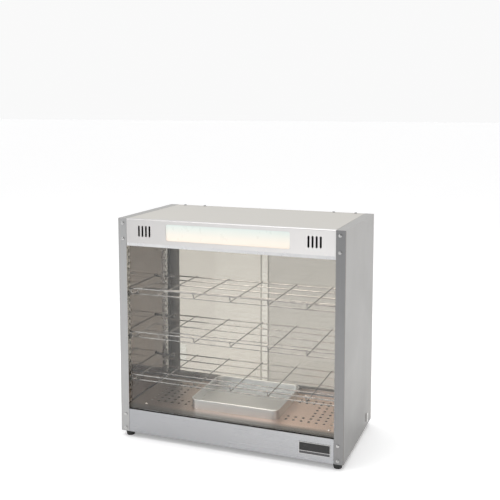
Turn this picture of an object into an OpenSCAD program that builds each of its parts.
// Hot food display case for a counter: sheet steel body, fixed glass front, sliding glass
// rear doors, three lift-off wire racks, a perforated heated floor and a water tray.
// Frame: origin under the middle of the body at the bottom of the feet, +Z up,
// the glass front faces -Y and X runs to the right as seen from the front.

/* [Body] */
// Width over the side panels
body_w = 600; // [480:10:900]
// Depth over the front and rear flanges
body_d = 310; // [300:5:420]
// Height of the body without its feet
body_h = 565; // [460:5:700]
// Thickness of the steel sheet
sheet = 1.2; // [0.8:0.1:1.6]
// Width of the folded edges of the side panels
flange_w = 24; // [20:1:30]
// Gap between neighbouring panels
seam = 0.6; // [0.3:0.1:1]
// Outer radius of the folds
fold_r = 2.4; // [2:0.2:4]

/* [Fascia] */
// Height of the upper front panel
header_h = 62; // [58:1:80]
// Height of the lower front panel
kick_h = 61; // [58:1:80]
// Depth of the return at the top of the upper panels
return_w = 14; // [12:1:20]
// Distance from the lit window to the nearest vent slot
window_gap = 43.4; // [20:0.2:80]
// Height of the lit window
window_h = 42; // [30:1:50]
// Radius of the window corners
window_r = 5; // [2:1:12]
// Number of vent slots on each side of the window
slot_count = 4; // [2:1:6]
// Distance between vent slots
slot_pitch = 10; // [8:1:14]
// Width of a vent slot
slot_w = 5; // [3:0.5:6]
// Length of a vent slot
slot_h = 28.5; // [16:0.5:32]
// Distance from the side flange to the outermost slot
slot_inset = 36; // [26:1:44]

/* [Glazing] */
// Thickness of the front glass and of the doors
glass_t = 5; // [4:0.5:6]
// Outer width of the channels that hold the front glass
channel_w = 12; // [10:0.5:15]
// Height of the channels that hold the front glass
channel_h = 8; // [7:0.5:10]
// Overlap of the two doors when closed
door_overlap = 20; // [12:1:30]
// Play of a door on each side of its groove
door_play = 0.75; // [0.5:0.05:1]
// Wall of the door tracks
track_wall = 1.5; // [1.2:0.1:2]
// Wall between the two grooves of a track
track_rib = 3; // [2:0.5:4]
// Height of the lower door track
track_low_h = 12; // [10:1:16]
// Height of the upper door track
track_high_h = 20; // [18:1:24]

/* [Racks] */
// Height of the lowest rack over the counter
rack_low_z = 147; // [140:0.5:180]
// Distance between the slots of the rack standards
slot_step = 16.5; // [13:0.5:20]
// Slots between one rack and the next
rack_steps = 7; // [6:1:7]
// Thickness of the rack frame wire
rail_d = 3.4; // [2.8:0.1:4.2]
// Thickness of the cross wires
cross_d = 2.8; // [2.3:0.1:3.4]
// Distance between cross wires
cross_pitch = 100; // [60:5:120]
// Height of the guard rail along the front of a rack
lip_h = 17; // [12:1:22]
// How far the guard rail leans out
lip_lean = 7; // [5:1:9]
// Gap between a rack and the side walls
rack_side_gap = 20; // [18:0.5:24]

/* [Floor and tray] */
// Diameter of the warm air holes
hole_d = 8; // [5:0.5:10]
// Distance between the warm air holes
hole_pitch = 20; // [16:1:26]
// Gap between the floor plate and the side walls
floor_gap = 3.4; // [2:0.2:5]
// Width of the water tray
tray_w = 246; // [180:2:300]
// Depth of the water tray
tray_d = 200; // [150:2:210]
// Height of the water tray
tray_h = 25; // [18:1:30]
// Radius of the tray corners
tray_r = 20; // [12:1:30]
// Distance of the tray to the left of the middle
tray_left = 8; // [0:1:20]

/* [Feet] */
// Height of the feet
foot_h = 15; // [12:1:30]
// Diameter of a foot at its top
foot_d = 26; // [21:1:32]
// Distance of the foot centres from the outer faces
foot_inset = 18; // [16:1:22]

/* [Controls] */
// How far the control panel is set back from the rear face
control_recess = 12; // [10:1:14]
// Diameter of the thermostat knob
knob_d = 30; // [20:1:34]
// Diameter of the thermostat shaft
shaft_d = 6; // [4:0.5:6]
// Radial clearance of the shaft and of the rocker pins
pivot_clear = 0.05; // [0.02:0.01:0.08]

/* [Hidden] */
$fn = 48;
eps = 0.01;

half_w = body_w / 2;
half_d = body_d / 2;
base_z = foot_h;
top_z = foot_h + body_h;
wall_x = half_w - sheet;             // inner face of the side panels
open_x = half_w - flange_w;          // inner edge of the side flanges
panel_x = open_x - seam;             // half width of the panels between the flanges
skin_y = half_d - sheet;             // inner face of the front and rear skins
fold_in = fold_r - sheet;
fit_x = wall_x - fold_in;            // pieces that reach into the folded corners stop here
fit_y = skin_y - fold_in;
tab_lap = 14;
lap_w = 12;                          // of the upper panels under the top cover

header_z = top_z - header_h;         // lower edge of the header panels
slot_x = panel_x - slot_inset;
window_w = 2 * (slot_x - (slot_count - 1) * slot_pitch - slot_w / 2 - window_gap);
kick_z = base_z + kick_h;            // upper edge of the lower panels and face of the floor

screw_r = 2;
screw_clear = 0.2;
screw_head_r = 4;
screw_head_h = 2.4;
screw_len = 9;
screw_x = half_w - 14;
screw_edge = 12.5;                   // from the outer screws to the ends of the body
screw_low_z = kick_z - 15;
screw_high_z = header_z + 9.5;
flange_screw_z = [base_z + 9, screw_low_z, screw_high_z, top_z - screw_edge];
cover_screw_x = [-panel_x + 24, -panel_x + 85, panel_x - 85, panel_x - 24];

channel_y = skin_y - channel_w / 2;  // middle of the glass channels, counted from the centre
channel_in = channel_w - 2 * sheet;  // inner width of the glass channels
low_channel_z = kick_z - sheet - channel_h;
ceiling_z = header_z - channel_h;    // underside of the ceiling plate
glass_seat = 2;                      // rubber under and over the glass
front_glass_y = -channel_y;

rack_pitch = slot_step * rack_steps;
rack_x = wall_x - rack_side_gap - rail_d / 2;
rack_rear_y = half_d - 45;
rack_front_y = -half_d + 25;
rack_corner_r = 8;
knuckle = 0.12;                      // how far a bend stands proud of its wire
knuckle_gap = 0.3;
weld = 0.4;                          // depth that crossing wires are welded into each other
rail_r = rail_d / 2;
inner_r = rail_r - 0.2;
cross_r = cross_d / 2;
cross_over = inner_r + cross_r - weld;
lip_turn = atan2(lip_h, lip_lean);
rail_gap = (rack_rear_y - rack_front_y - 65) / 3;
rack_rail_y = [rack_rear_y - 50, rack_rear_y - 50 - rail_gap, rack_front_y + 70, rack_front_y + 5];
cross_end_gap = 30;
cross_side = floor((rack_x - cross_end_gap) / cross_pitch);

standard_w = 16;
standard_deep = 5.5;
standard_rear_y = half_d - 52;
standard_front_y = -half_d + 38;
standard_gap = 4;                    // above the floor and under the ceiling
slot_off = 3.5;                       // from the middle of a standard to its row of slots
slot_tall = 9;
slot_wide = 5;
clip_w = 8;
clip_t = 2;
clip_clear = 0.3;
clip_hang = 12;
clip_lip = 3;
clip_reach = rack_side_gap + rail_d + 7;

track_groove = glass_t + 2 * door_play;
track_w = 2 * track_groove + 2 * track_wall + track_rib;
track_y = half_d - 25;                     // middle of the door tracks
door_rear_y = track_y + (track_rib + track_groove) / 2;
door_front_y = track_y - (track_rib + track_groove) / 2;
glide_h = 2.2;
glide_clear = 0.2;
door_z0 = kick_z + track_wall + glide_clear + glide_h;
door_lift = track_low_h - track_wall;
door_z1 = ceiling_z - track_wall - door_lift;
door_end_gap = 1;
pull_w = 20;
pull_h = 56;
pull_t = 3;
pull_z = 142;
pull_edge = 30;

floor_y0 = -(skin_y - channel_w);
floor_y1 = half_d - 45;
floor_x = wall_x - floor_gap;
floor_mid_y = (floor_y0 + floor_y1) / 2 + 11;
hole_rows = floor((floor_y1 - floor_y0 - 100) / hole_pitch) + 1;
hole_edge_rows = 2;
hole_side_cols = 4;
hole_half_cols = floor((floor_x - 34 - hole_pitch / 2) / hole_pitch);
floor_screw_x = floor_x - 44;
floor_screw_y = [floor_y0 + 35, floor_y1 - 24];
stiffener = 9;

lamp_d = 26;
lamp_len = window_w + 3;
lamp_y = -half_d + 37;
lamp_z = ceiling_z + sheet + 34;
cap_len = 12;
lamp_pin_r = 1.2;
lamp_pin_gap = 12.7;
holder_t = 14;
holder_w = 24;
cover_x = window_w / 2 - 7;
cover_y0 = floor_y0 + 2.3;
cover_y1 = cover_y0 + 39.5;
cover_edge = 6;
cover_t = 3;

heater_r = 4;
heater_z = base_z + 32;
heater_leg_y = 45;
heater_leg_x = half_w - 100;
heater_turn_x = -heater_leg_x + heater_leg_y;
heater_mid_x = (heater_turn_x + heater_leg_x) / 2;
bracket_x = [heater_turn_x + 60, heater_mid_x + 37, heater_leg_x - 40];
shield_x = floor_screw_x - 17;
shield_y = half_d - 50;
shield_z = base_z + 12;

control_y = half_d - control_recess;
control_in_y = control_y - sheet;
control_z = base_z + kick_h / 2;
knob_x = half_w - 100;
knob_gap = 1;
knob_h = control_recess - 1.5;
pilot_x = half_w - 140;
pilot_r = 5;
power_x = half_w - 175;
light_x = half_w - 205;
rocker_w = 10;
rocker_reach = 8;
rocker_tilt = 10;
rocker_pin_r = 1.2;
bezel_t = 2;
rocker_y = control_y - 4;

bush_y = half_d - 55;
bush_z = base_z + 23;
bush_w = 12;
bush_h = 24;
bush_wall = 1.6;
bush_out = 2.5;

plate_x0 = half_w - 111;
plate_w = 79;
plate_h = 30;
plate_z = base_z + 14.5;
plate_t = 1.2;

// ---- helpers -------------------------------------------------------------------------

// a box between its lowest and highest corners
module block(lo, hi) {
    translate(lo) cube(hi - lo);
}

// an outline in Y and Z, drawn out along X
module along_x(x0, x1) {
    translate([x0, 0, 0]) rotate([90, 0, 90]) linear_extrude(x1 - x0) children();
}

// an outline in X and Z, drawn out along Y
module along_y(y0, y1) {
    translate([0, y1, 0]) rotate([90, 0, 0]) linear_extrude(y1 - y0) children();
}

// a flat rectangle between two corners
module area(lo, hi) {
    translate(lo) square(hi - lo);
}

// a flat rectangle with round corners, about the origin
module round_area(w, h, r) {
    square([w - 2 * r, h], center = true);
    square([w, h - 2 * r], center = true);
    for (x = [-1, 1], y = [-1, 1]) {
        translate([x * (w / 2 - r), y * (h / 2 - r)]) circle(r);
    }
}

// a flat slot with round ends, standing upright about the origin
module stadium(w, h) {
    square([w, h - w], center = true);
    for (y = [-1, 1]) {
        translate([0, y * (h - w) / 2]) circle(w / 2);
    }
}

// a copy of the children and its mirror image in X
module both_sides() {
    children();
    mirror([1, 0, 0]) children();
}

// a straight wire or pin along one axis
module rod_x(x0, x1, r) {
    translate([x0, 0, 0]) rotate([0, 90, 0]) cylinder(h = x1 - x0, r = r);
}

module rod_y(y0, y1, r) {
    translate([0, y0, 0]) rotate([-90, 0, 0]) cylinder(h = y1 - y0, r = r);
}

// ---- body shell ----------------------------------------------------------------------

// plan outline of the whole shell at a distance inside its faces
module shell_outline(inside, r) {
    round_area(body_w - 2 * inside, body_d - 2 * inside, r);
}

module side_panel() {
    difference() {
        union() {
            translate([0, 0, base_z]) linear_extrude(body_h) {
                intersection() {
                    difference() {
                        shell_outline(0, fold_r);
                        shell_outline(sheet, fold_in);
                    }
                    area([-half_w, -half_d], [-open_x, half_d]);
                }
            }
            for (z = [base_z, top_z - sheet]) {
                translate([0, 0, z]) linear_extrude(sheet) {
                    intersection() {
                        shell_outline(0, fold_r);
                        area([-half_w, -half_d], [-open_x, half_d]);
                    }
                }
            }
        }
        for (y = [-1, 1], z = flange_screw_z) {
            translate([-screw_x, y * (half_d - sheet / 2), z]) {
                rod_y(-sheet, sheet, screw_r + screw_clear);
            }
        }
        for (y = [-1, 1]) {
            translate([-(half_w - foot_inset), y * (half_d - foot_inset), base_z - sheet]) {
                cylinder(h = 3 * sheet, r = screw_r + screw_clear);
            }
        }
    }
}

module left_side_panel() {
    color([0.71, 0.71, 0.70]) side_panel();
}

module right_side_panel() {
    color([0.71, 0.71, 0.70]) difference() {
        mirror([1, 0, 0]) side_panel();
        translate([0, bush_y, bush_z]) along_x(wall_x - sheet, half_w + sheet) {
            stadium(bush_w - 2 * bush_wall, bush_h - 2 * bush_wall);
        }
    }
}

// outline of an upper panel in Y and Z: skin, rounded top fold and return
module upper_outline() {
    difference() {
        area([-half_d, header_z], [-half_d + return_w, top_z]);
        area([-skin_y, header_z - sheet], [-half_d + return_w + sheet, top_z - fold_r]);
        area([-half_d + fold_r, top_z - fold_r - sheet],
             [-half_d + return_w + sheet, top_z - sheet]);
        difference() {
            area([-half_d - sheet, top_z - fold_r], [-half_d + fold_r, top_z + sheet]);
            translate([-half_d + fold_r, top_z - fold_r]) circle(fold_r);
        }
        translate([-half_d + fold_r, top_z - fold_r]) circle(fold_in);
    }
}

// end tabs behind the side flanges, from z0 to z1, that lap the panel itself
module end_tabs(z0, z1, lap) {
    difference() {
        block([-fit_x, -skin_y, z0], [fit_x, -skin_y + sheet, z1]);
        block([-panel_x + lap, -skin_y - sheet, z0 - sheet],
              [panel_x - lap, -skin_y + 2 * sheet, z1 + sheet]);
        for (x = [-1, 1], z = flange_screw_z) {
            translate([x * screw_x, -skin_y, z]) rod_y(-sheet, 2 * sheet, screw_r);
        }
    }
}

// an upper panel at the front, before its openings are cut
module upper_panel() {
    along_x(-panel_x, panel_x) upper_outline();
    end_tabs(header_z + 2 * sheet, top_z - fold_r - sheet, tab_lap);
    // lap strip under the top cover
    block([-panel_x, -half_d + fold_r, top_z - 2 * sheet],
          [panel_x, -half_d + return_w + lap_w, top_z - sheet]);
}

module header_panel() {
    color([0.88, 0.87, 0.86]) difference() {
        union() {
            upper_panel();
            block([-panel_x, -half_d, header_z],
                  [panel_x, -half_d + channel_w / 2, header_z + sheet]);
        }
        translate([0, 0, header_z + header_h / 2]) along_y(-half_d - sheet, -skin_y + eps) {
            round_area(window_w, window_h, window_r);
        }
        for (side = [-1, 1], k = [0 : slot_count - 1]) {
            translate([side * (slot_x - k * slot_pitch), 0, header_z + header_h / 2]) {
                along_y(-half_d - sheet, -skin_y + eps) stadium(slot_w, slot_h);
            }
        }
    }
}

module rear_header_panel() {
    color([0.75, 0.74, 0.73]) difference() {
        union() {
            rotate([0, 0, 180]) upper_panel();
            // skirt that hides the upper door track
            block([-panel_x, skin_y, header_z - channel_h - track_high_h + sheet],
                  [panel_x, half_d, header_z]);
        }
        for (x = cover_screw_x) {
            translate([x, half_d - return_w / 2, top_z - 3 * sheet]) {
                cylinder(h = 4 * sheet, r = screw_r + screw_clear);
            }
        }
    }
}

module top_cover() {
    color([0.83, 0.81, 0.78]) {
        block([-panel_x, -half_d + return_w + seam, top_z - sheet],
              [panel_x, half_d - return_w - seam, top_z]);
    }
}

module sign_window() {
    color([0.93, 0.96, 0.94]) {
        block([-window_w / 2 - 8, -skin_y, header_z + sheet + 3],
              [window_w / 2 + 8, -skin_y + 2, top_z - 2 * sheet - 2]);
    }
}

module ceiling_plate() {
    color([0.80, 0.78, 0.75]) difference() {
        union() {
            block([-wall_x, floor_y0, ceiling_z], [wall_x, fit_y, ceiling_z + sheet]);
            block([-wall_x, floor_y0, ceiling_z], [wall_x, floor_y0 + sheet, header_z]);
            both_sides() {
                block([-wall_x, floor_y0, ceiling_z], [-wall_x + sheet, fit_y, header_z]);
            }
        }
        block([-cover_x + cover_edge, cover_y0 + cover_edge, ceiling_z - sheet],
              [cover_x - cover_edge, cover_y1 - cover_edge, ceiling_z + 2 * sheet]);
    }
}

// ---- lamp compartment ----------------------------------------------------------------

module lamp_cover() {
    color([0.85, 0.92, 0.92, 0.5]) {
        block([-cover_x, cover_y0, ceiling_z + sheet],
              [cover_x, cover_y1, ceiling_z + sheet + cover_t]);
    }
}

module lamp_tube() {
    color([0.98, 0.98, 0.96]) translate([0, lamp_y, lamp_z]) {
        rod_x(-lamp_len / 2 + cap_len, lamp_len / 2 - cap_len, lamp_d / 2);
    }
}

module lamp_end_caps() {
    color([0.75, 0.76, 0.77]) both_sides() translate([0, lamp_y, lamp_z]) {
        rod_x(lamp_len / 2 - cap_len, lamp_len / 2, lamp_d / 2 + 0.3);
        for (z = [-1, 1]) {
            translate([0, 0, z * lamp_pin_gap / 2]) {
                rod_x(lamp_len / 2, lamp_len / 2 + 7, lamp_pin_r);
            }
        }
    }
}

module lamp_holders() {
    color([0.93, 0.93, 0.91]) both_sides() difference() {
        block([lamp_len / 2, lamp_y - holder_w / 2, ceiling_z + sheet],
              [lamp_len / 2 + holder_t, lamp_y + holder_w / 2, lamp_z + lamp_pin_gap]);
        for (z = [-1, 1]) {
            translate([0, lamp_y, lamp_z + z * lamp_pin_gap / 2]) {
                rod_x(lamp_len / 2 - 1, lamp_len / 2 + 8, lamp_pin_r + screw_clear);
            }
        }
    }
}

module lamp_reflector() {
    color([0.95, 0.95, 0.94]) along_x(-lamp_len / 2 - holder_t, lamp_len / 2 + holder_t) {
        polygon([
            [cover_y1 + 3, ceiling_z + sheet],
            [cover_y1 + 3 + 10, ceiling_z + sheet],
            [cover_y1 + 3 + 10, ceiling_z + 2 * sheet],
            [cover_y1 + 3 + sheet, ceiling_z + 2 * sheet],
            [cover_y1 + 3 + sheet, lamp_z + 14],
            [cover_y1 - 9 + sheet, top_z - 4],
            [cover_y1 - 9, top_z - 4],
            [cover_y1 + 3, lamp_z + 14 - sheet / 2]
        ]);
    }
}

module ballast() {
    foot_z = ceiling_z + sheet;
    color([0.86, 0.86, 0.84]) difference() {
        union() {
            block([-62, 0, foot_z], [62, 42, foot_z + 28]);
            block([-78, 8, foot_z], [78, 34, foot_z + 2]);
        }
        for (x = [-1, 1]) {
            translate([x * 70, 21, foot_z - 1]) cylinder(h = 4, r = screw_r + screw_clear);
        }
    }
}

// ---- front glass ---------------------------------------------------------------------

module upper_glass_channel() {
    color([0.62, 0.62, 0.63]) difference() {
        block([-fit_x, -skin_y, ceiling_z], [fit_x, floor_y0, header_z]);
        block([-half_w, -skin_y + sheet, ceiling_z - sheet],
              [half_w, floor_y0 - sheet, header_z - sheet]);
    }
}

module lower_glass_channel() {
    z1 = low_channel_z + channel_h;
    color([0.55, 0.54, 0.53]) difference() {
        block([-fit_x, -skin_y, low_channel_z], [fit_x, floor_y0, z1]);
        block([-half_w, -skin_y + sheet, low_channel_z + sheet],
              [half_w, floor_y0 - sheet, z1 + sheet]);
    }
}

module glass_gaskets() {
    gasket_y = channel_in / 2;
    glass_y = glass_t / 2;
    low0 = low_channel_z + sheet;
    low1 = low_channel_z + channel_h;
    color([0.10, 0.10, 0.10]) translate([0, front_glass_y, 0]) {
        difference() {
            block([-fit_x, -gasket_y, low0], [fit_x, gasket_y, low1]);
            block([-half_w, -glass_y, low0 + glass_seat], [half_w, glass_y, low1 + 1]);
        }
        difference() {
            block([-fit_x, -gasket_y, ceiling_z], [fit_x, gasket_y, header_z - sheet]);
            block([-half_w, -glass_y, ceiling_z - 1],
                  [half_w, glass_y, header_z - sheet - glass_seat]);
        }
    }
}

module front_glass() {
    color([0.80, 0.90, 0.90, 0.3]) {
        block([-wall_x + 2, front_glass_y - glass_t / 2, low_channel_z + sheet + glass_seat],
              [wall_x - 2, front_glass_y + glass_t / 2, header_z - sheet - glass_seat]);
    }
}

// ---- lower front ---------------------------------------------------------------------

module kick_panel() {
    color([0.72, 0.73, 0.76]) {
        block([-panel_x, -half_d, base_z], [panel_x, -skin_y, kick_z]);
        block([-panel_x, -half_d, kick_z - sheet], [panel_x, -skin_y + sheet, kick_z]);
        block([-panel_x, -half_d, base_z], [panel_x, -half_d + 12, base_z + sheet]);
        end_tabs(base_z + 2 * sheet, low_channel_z, tab_lap);
    }
}

module name_plate() {
    x1 = plate_x0 + plate_w;
    z1 = plate_z + plate_h;
    rim = 1.2;
    split = plate_z + 8;
    face = -half_d - plate_t;
    color([0.13, 0.13, 0.14]) difference() {
        block([plate_x0, face, plate_z], [x1, -half_d, z1]);
        block([plate_x0 + rim, face - 1, split + rim / 2], [x1 - rim, face + 0.4, z1 - rim]);
        block([plate_x0 + rim, face - 1, plate_z + rim], [x1 - rim, face + 0.4, split - rim / 2]);
    }
}

// ---- base and floor ------------------------------------------------------------------

module base_pan() {
    vent_x = half_w - 160;
    color([0.66, 0.66, 0.66]) difference() {
        union() {
            block([-wall_x, -fit_y, base_z + sheet], [wall_x, fit_y, base_z + 2 * sheet]);
            both_sides() {
                block([-wall_x, -fit_y, base_z + sheet],
                      [-wall_x + sheet, fit_y, base_z + stiffener]);
            }
        }
        for (x = [-1, 1], k = [-3 : 3]) {
            translate([x * vent_x, k * 14, 0]) linear_extrude(base_z + 4 * sheet) {
                rotate(90) stadium(5, 70);
            }
        }
        for (x = [-1, 1], y = [-1, 1]) {
            translate([x * (half_w - foot_inset), y * (half_d - foot_inset), base_z]) {
                cylinder(h = 4 * sheet, r = screw_r + screw_clear);
            }
        }
    }
}

// true where the ring of warm air holes has a hole: two rows along each long edge and
// four columns at each end
function has_hole(col, row) =
    row < hole_edge_rows || row >= hole_rows - hole_edge_rows
    || abs(col) > hole_half_cols + 0.5 - hole_side_cols;

module floor_plate() {
    color([0.80, 0.77, 0.73]) difference() {
        union() {
            block([-floor_x, floor_y0, kick_z - sheet], [floor_x, floor_y1, kick_z]);
            for (y = [floor_y0, floor_y1 - sheet]) {
                block([-floor_x, y, kick_z - stiffener], [floor_x, y + sheet, kick_z]);
            }
        }
        translate([0, 0, kick_z - 2 * sheet]) linear_extrude(3 * sheet) {
            for (col = [-hole_half_cols - 0.5 : hole_half_cols + 0.5], row = [0 : hole_rows - 1]) {
                if (has_hole(col, row)) {
                    translate([col * hole_pitch,
                               floor_mid_y + (row - (hole_rows - 1) / 2) * hole_pitch]) {
                        circle(d = hole_d);
                    }
                }
            }
            for (x = [-1, 1], y = floor_screw_y) {
                translate([x * floor_screw_x, y]) circle(screw_r + screw_clear);
            }
        }
    }
}

module floor_supports() {
    color([0.66, 0.66, 0.66]) both_sides() difference() {
        union() {
            block([floor_screw_x - 9, floor_y0 + 3, base_z + 2 * sheet],
                  [floor_screw_x - 9 + sheet, floor_y1 - 3, kick_z - sheet]);
            block([floor_screw_x - 9, floor_y0 + 3, kick_z - 2 * sheet],
                  [floor_screw_x + 9, floor_y1 - 3, kick_z - sheet]);
            block([floor_screw_x - 9, floor_y0 + 3, base_z + 2 * sheet],
                  [floor_screw_x + 9, floor_y1 - 3, base_z + 3 * sheet]);
        }
        for (y = floor_screw_y) {
            translate([floor_screw_x, y, kick_z - 3 * sheet]) cylinder(h = 3 * sheet, r = screw_r);
        }
    }
}

// a pan head screw pointing down, its head seated at z = 0
module screw_down(length) {
    intersection() {
        cylinder(h = screw_head_h, r = screw_head_r);
        translate([0, 0, screw_head_h - 5.2]) sphere(5.2);
    }
    translate([0, 0, -length]) cylinder(h = length, r = screw_r);
}

module heater_element() {
    color([0.35, 0.33, 0.31]) translate([0, 0, heater_z]) {
        for (y = [-1, 1]) {
            translate([0, y * heater_leg_y, 0]) rod_x(heater_turn_x, heater_leg_x, heater_r);
            translate([0, y * heater_leg_y, 0]) rod_x(heater_leg_x, heater_leg_x + 14, heater_r - 2);
        }
        translate([heater_turn_x, 0, 0]) rotate([0, 0, 90]) {
            rotate_extrude(angle = 180) translate([heater_leg_y, 0]) circle(heater_r);
        }
    }
}

module heater_brackets() {
    foot_z = shield_z + sheet;
    color([0.60, 0.60, 0.60]) for (x = bracket_x) difference() {
        union() {
            block([x, -heater_leg_y - 12, foot_z], [x + sheet, heater_leg_y + 12, heater_z + 9]);
            block([x, -heater_leg_y - 12, foot_z], [x + 12, heater_leg_y + 12, foot_z + sheet]);
        }
        for (y = [-1, 1]) {
            translate([0, y * heater_leg_y, heater_z]) {
                rod_x(x - sheet, x + 2 * sheet, heater_r + screw_clear);
            }
        }
    }
}

module heat_shield() {
    color([0.70, 0.70, 0.71]) {
        block([-shield_x, -shield_y, shield_z], [shield_x, shield_y, shield_z + sheet]);
        both_sides() {
            block([-shield_x, -shield_y, base_z + 2 * sheet],
                  [-shield_x + sheet, shield_y, shield_z + sheet]);
        }
    }
}

// ---- rear ----------------------------------------------------------------------------

module rear_lower_panel() {
    deck_z = kick_z - sheet;
    foot_z = base_z + 2 * sheet;
    color([0.72, 0.72, 0.72]) {
        difference() {
            block([-panel_x, control_in_y, foot_z], [panel_x, control_y, deck_z]);
            translate([knob_x, 0, control_z]) rod_y(control_in_y - 1, control_y + 1, shaft_d / 2 + 2.2);
            translate([pilot_x, 0, control_z]) rod_y(control_in_y - 1, control_y + 1, pilot_r);
            for (x = [power_x, light_x]) {
                block([x - rocker_w / 2 - 2.2, control_in_y - 1, control_z - 10],
                      [x + rocker_w / 2 + 2.2, control_y + 1, control_z + 10]);
            }
        }
        block([-fit_x, floor_y1 + seam, deck_z], [fit_x, skin_y, kick_z]);
        block([-panel_x, control_in_y, foot_z], [panel_x, fit_y, foot_z + sheet]);
        both_sides() {
            block([-panel_x, control_in_y, foot_z], [-panel_x + sheet, skin_y, deck_z]);
        }
        rotate([0, 0, 180]) end_tabs(foot_z, deck_z, sheet);
    }
}

// an extrusion with two grooves that open upwards, its foot at z = 0
module track(height) {
    color([0.68, 0.68, 0.69]) along_x(-wall_x, wall_x) difference() {
        area([track_y - track_w / 2, 0], [track_y + track_w / 2, height]);
        for (side = [-1, 1]) {
            translate([track_y + side * (track_rib + track_groove) / 2, 0]) {
                area([-track_groove / 2, track_wall], [track_groove / 2, height + 1]);
            }
        }
    }
}

module lower_door_track() {
    translate([0, 0, kick_z]) track(track_low_h);
}

module upper_door_track() {
    translate([0, 0, ceiling_z]) mirror([0, 0, 1]) track(track_high_h);
}

// a door from its outer edge near the wall to just past the middle
module door_pane(side, y) {
    x0 = min(side * (wall_x - door_end_gap), -side * door_overlap / 2);
    x1 = max(side * (wall_x - door_end_gap), -side * door_overlap / 2);
    color([0.82, 0.88, 0.86, 0.35]) {
        block([x0, y - glass_t / 2, door_z0], [x1, y + glass_t / 2, door_z1]);
    }
}

// a shallow finger pull on the rear face of a door
module door_pull(side, y) {
    x = side * (wall_x - door_end_gap - pull_edge - pull_w / 2);
    color([0.86, 0.86, 0.84]) difference() {
        translate([x, 0, pull_z]) along_y(y + glass_t / 2, y + glass_t / 2 + pull_t) {
            round_area(pull_w, pull_h, 4);
        }
        translate([x, 0, pull_z]) along_y(y + glass_t / 2 + 1, y + glass_t / 2 + pull_t + 1) {
            round_area(pull_w - 6, pull_h - 6, 3);
        }
    }
}

// two plastic glides under a door
module door_glides(side, y) {
    outer = wall_x - door_end_gap;
    color([0.92, 0.92, 0.90]) for (x = [side * (outer - 45), side * (45 - door_overlap / 2)]) {
        block([x - 15, y - track_groove / 2 + glide_clear, door_z0 - glide_h],
              [x + 15, y + track_groove / 2 - glide_clear, door_z0]);
    }
}

module left_door() {
    door_pane(-1, door_rear_y);
}

module left_door_pull() {
    door_pull(-1, door_rear_y);
}

module left_door_glides() {
    door_glides(-1, door_rear_y);
}

module right_door() {
    door_pane(1, door_front_y);
}

module right_door_pull() {
    door_pull(1, door_front_y);
}

module right_door_glides() {
    door_glides(1, door_front_y);
}

// ---- racks ---------------------------------------------------------------------------

// a slotted channel on the left side wall; the slots are nearer the middle of the case
module standard(y) {
    z0 = kick_z + standard_gap;
    z1 = ceiling_z - standard_gap;
    inward = y > 0 ? -1 : 1;
    first = ceil((z0 + slot_tall - rack_low_z) / slot_step);
    last = floor((z1 - slot_tall - rack_low_z) / slot_step);
    color([0.55, 0.55, 0.54]) difference() {
        block([-wall_x, y - standard_w / 2, z0], [-wall_x + standard_deep, y + standard_w / 2, z1]);
        block([-wall_x - 1, y - standard_w / 2 + sheet, z0 - 1],
              [-wall_x + standard_deep - sheet, y + standard_w / 2 - sheet, z1 + 1]);
        translate([0, y + inward * slot_off, rack_low_z]) {
            along_x(-wall_x + standard_deep - 2 * sheet, -wall_x + standard_deep + sheet) {
                for (k = [first : last]) {
                    translate([0, k * slot_step - clip_hang / 2]) stadium(slot_wide, slot_tall);
                }
            }
        }
    }
}

module left_front_standard() {
    standard(standard_front_y);
}

module left_rear_standard() {
    standard(standard_rear_y);
}

module right_front_standard() {
    mirror([1, 0, 0]) standard(standard_front_y);
}

module right_rear_standard() {
    mirror([1, 0, 0]) standard(standard_rear_y);
}

// the four clips that carry the rack at height z
module clip_set(z) {
    face_x = -wall_x + standard_deep;
    shelf_z = z - rail_r - clip_clear;
    tip_x = -wall_x + clip_reach;
    tongue = slot_wide / 2 - screw_clear;
    color([0.30, 0.30, 0.30]) both_sides() for (y = [standard_front_y + slot_off,
                                                    standard_rear_y - slot_off]) {
        translate([0, y, 0]) {
            block([face_x, -clip_w / 2, z - clip_hang], [face_x + clip_t, clip_w / 2, z + clip_lip]);
            block([face_x, -clip_w / 2, shelf_z - clip_t], [tip_x, clip_w / 2, shelf_z]);
            block([tip_x - clip_t, -clip_w / 2, shelf_z - clip_t], [tip_x, clip_w / 2, z + clip_lip]);
            block([face_x - standard_deep + sheet + 1, -tongue, z - clip_hang / 2 - tongue],
                  [face_x + clip_t, tongue, z - clip_hang / 2 + tongue]);
        }
    }
}

module rack_clips() {
    for (k = [0 : 2]) clip_set(rack_low_z + k * rack_pitch);
}

// the half of space on one side of the plane halfway round a bend: 1 is the guard's side
module bend_side(r, side) {
    reach = 4 * r;
    rotate([90 - lip_turn / 2, 0, 0]) {
        block([-reach, -reach, side > 0 ? 0 : -reach], [reach, reach, side > 0 ? reach : 0]);
    }
}

// a wire that lies `over` the plane of the frame wire and runs forward from y_rear to the
// bend, where it is cut along the mitre
module deck_wire(r, over, y_rear) {
    turn_y = rack_front_y + over * tan(lip_turn / 2);
    translate([0, turn_y, over]) difference() {
        rod_y(-2 * r, y_rear - turn_y, r);
        bend_side(r, 1);
    }
}

// the same wire after the bend, a leaning piece of the given length
module guard_wire(r, over, length) {
    turn_y = rack_front_y + over * tan(lip_turn / 2);
    translate([0, turn_y, over]) difference() {
        rotate([90 - lip_turn, 0, 0]) {
            translate([0, 0, -2 * r]) cylinder(h = length + 2 * r, r = r);
        }
        bend_side(r, -1);
    }
}

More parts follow.
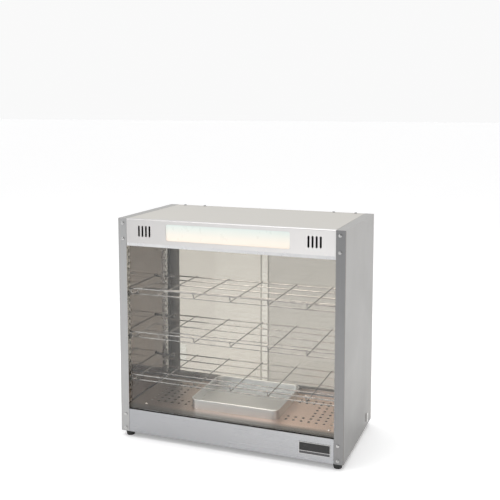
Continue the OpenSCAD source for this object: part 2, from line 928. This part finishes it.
module rack(z) {
    end_x = rack_x - rack_corner_r;
    color([0.80, 0.80, 0.80]) translate([0, 0, z]) {
        // frame: one wire round the rear corners
        translate([0, rack_rear_y, 0]) rod_x(-end_x, end_x, rail_r);
        both_sides() {
            translate([end_x, rack_rear_y - rack_corner_r, 0]) {
                rotate_extrude(angle = 90) translate([rack_corner_r, 0]) circle(rail_r);
            }
            translate([rack_x, 0, 0]) deck_wire(rail_r, 0, rack_rear_y - rack_corner_r);
        }
        for (y = rack_rail_y) {
            translate([0, y, 0]) rod_x(-rack_x, rack_x, inner_r);
        }
        // cross wires, welded on top of the rails
        for (k = [-cross_side : cross_side]) {
            translate([k * cross_pitch, 0, 0]) {
                deck_wire(cross_r, cross_over, rack_rear_y + rail_r + 1);
            }
        }
    }
}

// the frame wire and the cross wires turned up at the front into a guard rail
module guard(z) {
    lean_len = norm([lip_lean, lip_h]);
    color([0.80, 0.80, 0.80]) translate([0, 0, z]) {
        both_sides() {
            translate([rack_x, 0, 0]) guard_wire(rail_r, 0, lean_len - knuckle_gap);
            translate([rack_x, rack_front_y - lip_lean, lip_h]) sphere(rail_r + knuckle);
        }
        translate([0, rack_front_y - lip_lean, lip_h]) {
            rod_x(-rack_x + knuckle_gap, rack_x - knuckle_gap, rail_r);
        }
        for (k = [-cross_side : cross_side]) {
            translate([k * cross_pitch, 0, 0]) {
                guard_wire(cross_r, cross_over,
                           lean_len - cross_over * tan(lip_turn / 2) + rail_r + 1);
            }
        }
    }
}

module rack_top() {
    rack(rack_low_z + 2 * rack_pitch);
}

module rack_top_guard() {
    guard(rack_low_z + 2 * rack_pitch);
}

module rack_middle() {
    rack(rack_low_z + rack_pitch);
}

module rack_middle_guard() {
    guard(rack_low_z + rack_pitch);
}

module rack_bottom() {
    rack(rack_low_z);
}

module rack_bottom_guard() {
    guard(rack_low_z);
}

// ---- water tray ----------------------------------------------------------------------

module water_tray() {
    wall = 0.8;
    rim_r = 2;
    rim_x = tray_w / 2 - rim_r;
    rim_y = tray_d / 2 - rim_r;
    corner = tray_r - rim_r;
    color([0.80, 0.79, 0.76]) translate([-tray_left, floor_mid_y + 11, kick_z]) {
        difference() {
            linear_extrude(tray_h - rim_r) {
                round_area(2 * rim_x, 2 * rim_y, corner);
            }
            translate([0, 0, wall]) linear_extrude(tray_h) {
                round_area(2 * (rim_x - wall), 2 * (rim_y - wall), corner - wall);
            }
        }
        // rolled rim
        translate([0, 0, tray_h - rim_r]) {
            for (s = [-1, 1]) {
                translate([0, s * rim_y, 0]) rod_x(-rim_x + corner, rim_x - corner, rim_r);
                translate([s * rim_x, 0, 0]) rod_y(-rim_y + corner, rim_y - corner, rim_r);
            }
            for (turn = [0 : 3]) {
                sx = turn == 0 || turn == 3 ? 1 : -1;
                sy = turn < 2 ? 1 : -1;
                translate([sx * (rim_x - corner), sy * (rim_y - corner), 0]) {
                    rotate([0, 0, 90 * turn]) rotate_extrude(angle = 90) {
                        translate([corner, 0]) circle(rim_r);
                    }
                }
            }
        }
    }
}

// ---- feet and screws -----------------------------------------------------------------

module foot(x, y) {
    color([0.07, 0.07, 0.07]) {
        translate([x * (half_w - foot_inset), y * (half_d - foot_inset), 0]) difference() {
            cylinder(h = foot_h, r1 = foot_d / 2 - 3, r2 = foot_d / 2);
            translate([0, 0, -1]) cylinder(h = 9, r = 5.5);
            cylinder(h = foot_h + 1, r = screw_r + screw_clear);
        }
    }
}

module front_left_foot() {
    foot(-1, -1);
}

module front_right_foot() {
    foot(1, -1);
}

module rear_left_foot() {
    foot(-1, 1);
}

module rear_right_foot() {
    foot(1, 1);
}

// the screws that hold the floor, and one up through each foot with a nut inside the base
module base_screws() {
    seat_z = 8;
    nut_z = base_z + 2 * sheet;
    nut_h = 3.2;
    color([0.78, 0.78, 0.77]) for (x = [-1, 1]) {
        for (y = floor_screw_y) {
            translate([x * floor_screw_x, y, kick_z]) screw_down(screw_len);
        }
        for (y = [-1, 1]) {
            translate([x * (half_w - foot_inset), y * (half_d - foot_inset), 0]) {
                translate([0, 0, seat_z - 3]) cylinder(h = 3, r = 4.2);
                translate([0, 0, seat_z]) cylinder(h = nut_z + nut_h + 2 - seat_z, r = screw_r);
                translate([0, 0, nut_z]) cylinder(h = nut_h, r = 4, $fn = 6);
            }
        }
    }
}

module panel_screws() {
    color([0.86, 0.86, 0.86]) {
        for (x = [-1, 1], y = [-1, 1], z = flange_screw_z) {
            translate([x * screw_x, y * half_d, z]) rotate([-90 * y, 0, 0]) {
                screw_down(screw_len);
            }
        }
        for (x = cover_screw_x) {
            translate([x, half_d - return_w / 2, top_z]) screw_down(screw_len);
        }
    }
}

// ---- controls ------------------------------------------------------------------------

module thermostat() {
    bush_r = shaft_d / 2 + 2;
    color([0.82, 0.80, 0.74]) translate([knob_x, control_in_y, control_z]) difference() {
        union() {
            block([-20, -34, -17], [20, 0, 17]);
            rod_y(0, sheet + 0.8, bush_r);
        }
        rod_y(-12, sheet + 2, shaft_d / 2 + pivot_clear);
    }
}

module thermostat_shaft() {
    color([0.75, 0.75, 0.76]) translate([knob_x, control_in_y, control_z]) {
        rod_y(-11.5, sheet + knob_gap + knob_h - 3, shaft_d / 2);
    }
}

module thermostat_knob() {
    color([0.12, 0.12, 0.12]) translate([knob_x, control_y + knob_gap, control_z]) {
        difference() {
            union() {
                rod_y(0, 3, knob_d / 2);
                rod_y(3, knob_h - 2, knob_d / 2 - 4);
                block([-knob_d / 2 + 3, 3, -3.5], [knob_d / 2 - 3, knob_h, 3.5]);
            }
            rod_y(-1, knob_h - 3, shaft_d / 2);
        }
    }
}

module switch_housings() {
    half = rocker_w / 2 + 0.4;
    tall = rocker_reach + 0.4;
    color([0.09, 0.09, 0.09]) for (x = [power_x, light_x]) {
        translate([x, 0, control_z]) difference() {
            union() {
                block([-half - 3.2, control_y, -tall - 3], [half + 3.2, control_y + bezel_t, tall + 3]);
                block([-half - 1.6, control_in_y - 18, -tall - 1.4],
                      [half + 1.6, control_y, tall + 1.4]);
            }
            block([-half, control_in_y - 14, -tall], [half, control_y + bezel_t + 1, tall]);
            translate([0, rocker_y, 0]) {
                rod_x(-half - 0.8, half + 0.8, rocker_pin_r + pivot_clear);
            }
        }
    }
}

module rocker(x) {
    reach = rocker_reach;
    translate([x, rocker_y, control_z]) rotate([-rocker_tilt, 0, 0]) {
        along_x(-rocker_w / 2, rocker_w / 2) {
            polygon([[-5, -3.5], [-5, 3.5], [1.5, reach - 0.6], [4.6, reach - 1.8], [3.4, 0],
                     [4.6, 1.8 - reach], [1.5, 0.6 - reach]]);
        }
        rod_x(-rocker_w / 2 - 0.9, rocker_w / 2 + 0.9, rocker_pin_r);
    }
}

module power_rocker() {
    color([0.70, 0.10, 0.08]) rocker(power_x);
}

module light_rocker() {
    color([0.14, 0.14, 0.14]) rocker(light_x);
}

module pilot_lamp() {
    color([0.85, 0.20, 0.12]) translate([pilot_x, control_y, control_z]) {
        rod_y(-24, 0, pilot_r - screw_clear);
        rod_y(0, 1.5, pilot_r + 1.6);
        rotate([-90, 0, 0]) cylinder(h = 5, r1 = pilot_r, r2 = pilot_r - 1.5);
    }
}

// an oval bush in the right side wall for the mains cord, which has a slot right through
module cord_bushing() {
    color([0.80, 0.79, 0.77]) translate([0, bush_y, bush_z]) difference() {
        union() {
            along_x(half_w, half_w + bush_out) stadium(bush_w, bush_h);
            along_x(wall_x - 3, half_w) {
                stadium(bush_w - 2 * bush_wall - 0.2, bush_h - 2 * bush_wall - 0.2);
            }
            along_x(wall_x - 5, wall_x) stadium(bush_w, bush_h);
        }
        along_x(wall_x - 6, half_w + bush_out + 1) stadium(4, 14);
    }
}

left_side_panel();
right_side_panel();
top_cover();
header_panel();
sign_window();
ceiling_plate();
lamp_cover();
lamp_tube();
lamp_end_caps();
lamp_holders();
lamp_reflector();
ballast();
upper_glass_channel();
lower_glass_channel();
glass_gaskets();
front_glass();
kick_panel();
name_plate();
base_pan();
floor_plate();
floor_supports();
base_screws();
heater_element();
heater_brackets();
heat_shield();
rear_header_panel();
rear_lower_panel();
upper_door_track();
lower_door_track();
left_door();
left_door_pull();
left_door_glides();
right_door();
right_door_pull();
right_door_glides();
left_front_standard();
left_rear_standard();
right_front_standard();
right_rear_standard();
rack_clips();
rack_top();
rack_top_guard();
rack_middle();
rack_middle_guard();
rack_bottom();
rack_bottom_guard();
water_tray();
front_left_foot();
front_right_foot();
rear_left_foot();
rear_right_foot();
panel_screws();
thermostat();
thermostat_shaft();
thermostat_knob();
switch_housings();
power_rocker();
light_rocker();
pilot_lamp();
cord_bushing();
